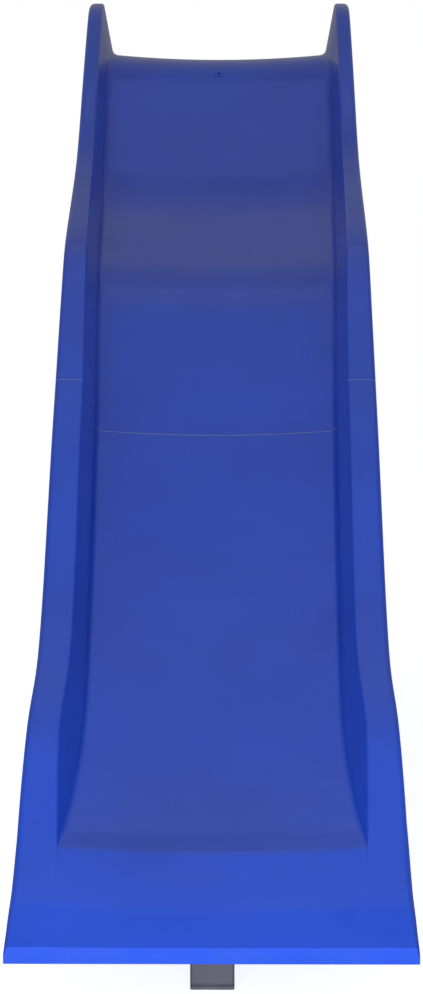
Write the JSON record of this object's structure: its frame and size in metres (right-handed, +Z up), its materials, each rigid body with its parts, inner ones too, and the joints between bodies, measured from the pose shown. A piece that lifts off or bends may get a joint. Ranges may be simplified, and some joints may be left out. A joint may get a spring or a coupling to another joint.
{
  "type": "pool slide",
  "caption": "Free-standing pool slide: a blue two-section moulded flume with high rails on a grey steel frame, with a rear ladder and a water feed valve.",
  "frame": {"origin": "on the ground plane, under the centre of the slide's bounding box", "axes": "+Z up, +Y from the exit lip at the front to the ladder at the rear, +X to the right seen from the exit"},
  "size_m": [0.54, 2.6, 1.3506],
  "materials": {
    "flume_blue": "glossy rotationally moulded polyethylene, blue",
    "nozzle_blue": "blue moulded plastic",
    "seal_rubber": "pale grey rubber gasket",
    "plug_black": "black plastic tube plug",
    "cap_grey": "grey plastic foot cap",
    "feed_plastic": "dark grey PVC pipe fitting",
    "zinc_steel": "zinc-plated steel",
    "brass_fitting": "machined brass",
    "lever_red": "red vinyl-coated lever",
    "tread_grey": "grey powder-coated folded steel with grip pattern",
    "frame_grey": "grey powder-coated steel tube and plate"
  },
  "bodies": {
    "slide": {"feed_elbow": "feed_plastic", "feed_pipe": "feed_plastic", "flume_lower": "flume_blue", "flume_upper": "flume_blue", "front_leg": "frame_grey", "front_leg_bolt": "zinc_steel", "front_leg_cap": "cap_grey", "front_leg_nut": "zinc_steel", "front_saddle": "frame_grey", "head_bolt_1": "zinc_steel", "head_bolt_2": "zinc_steel", "head_bolt_3": "zinc_steel", "head_bolt_4": "zinc_steel", "head_plate": "frame_grey", "hose_tail": "brass_fitting", "inlet_nozzle": "nozzle_blue", "leg_tie": "frame_grey", "mid_beam": "frame_grey", "mid_beam_plug_left": "plug_black", "mid_beam_plug_right": "plug_black", "mid_bolt_left": "zinc_steel", "mid_bolt_right": "zinc_steel", "mid_leg_left": "frame_grey", "mid_leg_right": "frame_grey", "nozzle_nut": "feed_plastic", "saddle_bolt_left": "zinc_steel", "saddle_bolt_right": "zinc_steel", "seam_bolt_1": "zinc_steel", "seam_bolt_2": "zinc_steel", "seam_bolt_3": "zinc_steel", "seam_bolt_4": "zinc_steel", "seam_nut_1": "zinc_steel", "seam_nut_2": "zinc_steel", "seam_nut_3": "zinc_steel", "seam_nut_4": "zinc_steel", "seam_seal": "seal_rubber", "stringer_bolt_inner_left": "zinc_steel", "stringer_bolt_inner_right": "zinc_steel", "stringer_bolt_outer_left": "zinc_steel", "stringer_bolt_outer_right": "zinc_steel", "stringer_left": "frame_grey", "stringer_right": "frame_grey", "tie_bolt_left": "zinc_steel", "tie_bolt_right": "zinc_steel", "tread_1": "tread_grey", "tread_1_bolt_left": "zinc_steel", "tread_1_bolt_right": "zinc_steel", "tread_2": "tread_grey", "tread_2_bolt_left": "zinc_steel", "tread_2_bolt_right": "zinc_steel", "tread_3": "tread_grey", "tread_3_bolt_left": "zinc_steel", "tread_3_bolt_right": "zinc_steel", "tread_4": "tread_grey", "tread_4_bolt_left": "zinc_steel", "tread_4_bolt_right": "zinc_steel", "valve_body": "brass_fitting"},
    "lever": {"valve_lever": "lever_red", "lever_nut": "zinc_steel"}
  },
  "joints": [
    {"name": "valve_turn", "type": "hinge", "parent": "slide", "child": "lever", "pos_m": [0.13, 0.7733, 1.128], "axis": [0, -1, 0], "range_deg": [0, 90]}
  ]
}
